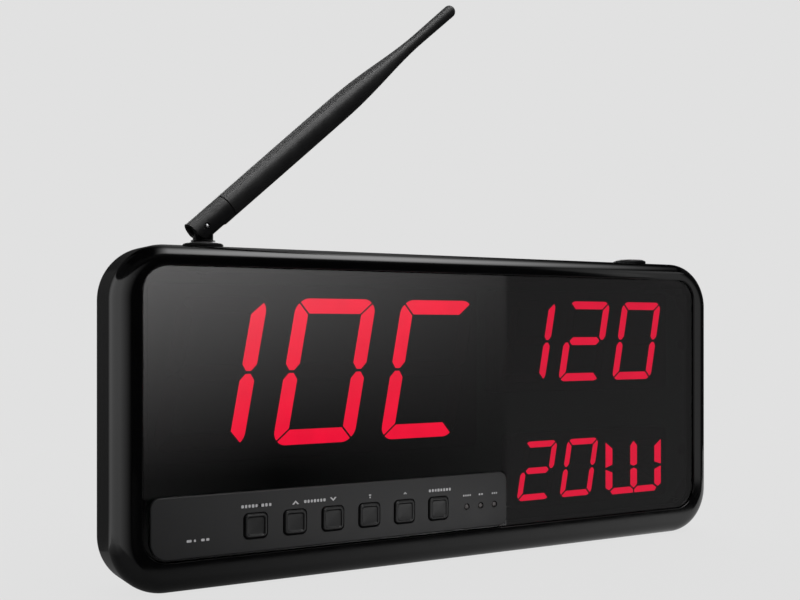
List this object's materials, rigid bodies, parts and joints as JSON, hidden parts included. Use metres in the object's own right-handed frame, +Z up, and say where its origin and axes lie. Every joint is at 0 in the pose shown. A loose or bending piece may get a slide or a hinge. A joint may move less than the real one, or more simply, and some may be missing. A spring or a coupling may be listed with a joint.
{
  "type": "digital display panel",
  "caption": "Wall or desk receiver panel with glowing seven-segment readouts behind a smoked window, a strip of push keys, indicator lamps and a folding, swivelling rod aerial.",
  "frame": {"origin": "on the standing plane, under the middle of the panel's width and depth", "axes": "+Z up, -Y towards the viewer of the readouts, +X to that viewer's right"},
  "size_m": [0.34, 0.0376, 0.2774],
  "materials": {
    "gloss_case": "polished black moulding",
    "cover": "fine spark-eroded black",
    "satin": "satin black",
    "aerial_rubber": "satin black rubber",
    "window": "smoked acrylic, glossy",
    "plate": "satin dark grey",
    "key": "satin black",
    "lens": "clear red lens, unlit",
    "reflector": "matt black",
    "segments": "red cast resin",
    "board": "green solder mask",
    "chip": "matt black",
    "can": "dark blue sleeve",
    "steel": "bright plated",
    "magnet": "sintered ferrite",
    "cone": "dark paper",
    "black_moulding": "black",
    "ribbon": "grey",
    "red_wire": "red"
  },
  "bodies": {
    "case": {"aerial_bushing": "satin", "aerial_lead": "black_moulding", "aerial_nut": "steel", "audio_chip": "chip", "blanking_plug": "satin", "board_screw_1": "steel", "board_screw_2": "steel", "board_screw_3": "steel", "board_screw_4": "steel", "capacitor_1": "can", "capacitor_2": "can", "case_screw_1": "steel", "case_screw_2": "steel", "case_screw_3": "steel", "case_screw_4": "steel", "control_plate": "plate", "controller_chip": "chip", "display_board": "board", "display_driver": "chip", "display_window": "window", "front_housing": "gloss_case", "indicator_1": "lens", "indicator_2": "lens", "indicator_3": "lens", "key_switch_1": "chip", "key_switch_2": "chip", "key_switch_3": "chip", "key_switch_4": "chip", "key_switch_5": "chip", "key_switch_6": "chip", "large_readout_reflector": "reflector", "large_readout_segments": "segments", "lower_readout_reflector": "reflector", "lower_readout_segments": "segments", "main_board": "board", "power_inlet": "black_moulding", "power_inlet_nut": "steel", "power_lead": "red_wire", "power_switch": "black_moulding", "radio_module": "steel", "rear_cover": "cover", "ribbon_link": "ribbon", "speaker_cone": "cone", "speaker_frame": "steel", "speaker_lead": "red_wire", "speaker_magnet": "magnet", "upper_readout_reflector": "reflector", "upper_readout_segments": "segments"},
    "key_1_body": {"key_1": "key"},
    "key_2_body": {"key_2": "key"},
    "key_3_body": {"key_3": "key"},
    "key_4_body": {"key_4": "key"},
    "key_5_body": {"key_5": "key"},
    "key_6_body": {"key_6": "key"},
    "switch_slider": {"power_switch_knob": "black_moulding"},
    "aerial_swivel": {"aerial_neck": "satin", "aerial_clip": "steel"},
    "aerial_arm": {"aerial_sleeve": "satin", "aerial_hinge_pin": "steel", "aerial_whip": "aerial_rubber"}
  },
  "joints": [
    {"name": "key_1_press", "type": "slide", "parent": "case", "child": "key_1_body", "axis": [0, 1, 0], "range_m": [0, 0.0008], "stiffness_N_per_m": 400, "springref_m": -0.0008},
    {"name": "key_2_press", "type": "slide", "parent": "case", "child": "key_2_body", "axis": [0, 1, 0], "range_m": [0, 0.0008], "stiffness_N_per_m": 400, "springref_m": -0.0008},
    {"name": "key_3_press", "type": "slide", "parent": "case", "child": "key_3_body", "axis": [0, 1, 0], "range_m": [0, 0.0008], "stiffness_N_per_m": 400, "springref_m": -0.0008},
    {"name": "key_4_press", "type": "slide", "parent": "case", "child": "key_4_body", "axis": [0, 1, 0], "range_m": [0, 0.0008], "stiffness_N_per_m": 400, "springref_m": -0.0008},
    {"name": "key_5_press", "type": "slide", "parent": "case", "child": "key_5_body", "axis": [0, 1, 0], "range_m": [0, 0.0008], "stiffness_N_per_m": 400, "springref_m": -0.0008},
    {"name": "key_6_press", "type": "slide", "parent": "case", "child": "key_6_body", "axis": [0, 1, 0], "range_m": [0, 0.0008], "stiffness_N_per_m": 400, "springref_m": -0.0008},
    {"name": "power_switch_slide", "type": "slide", "parent": "case", "child": "switch_slider", "axis": [1, 0, 0], "range_m": [0, 0.0036]},
    {"name": "aerial_swivel_turn", "type": "hinge", "parent": "case", "child": "aerial_swivel", "pos_m": [-0.125, -0.00025, 0.152], "axis": [0, 0, 1], "range_deg": [-170, 170]},
    {"name": "aerial_fold", "type": "hinge", "parent": "aerial_swivel", "child": "aerial_arm", "pos_m": [-0.125, -0.00025, 0.15935], "axis": [0, 1, 0], "range_deg": [-48.6, 41.4]}
  ]
}
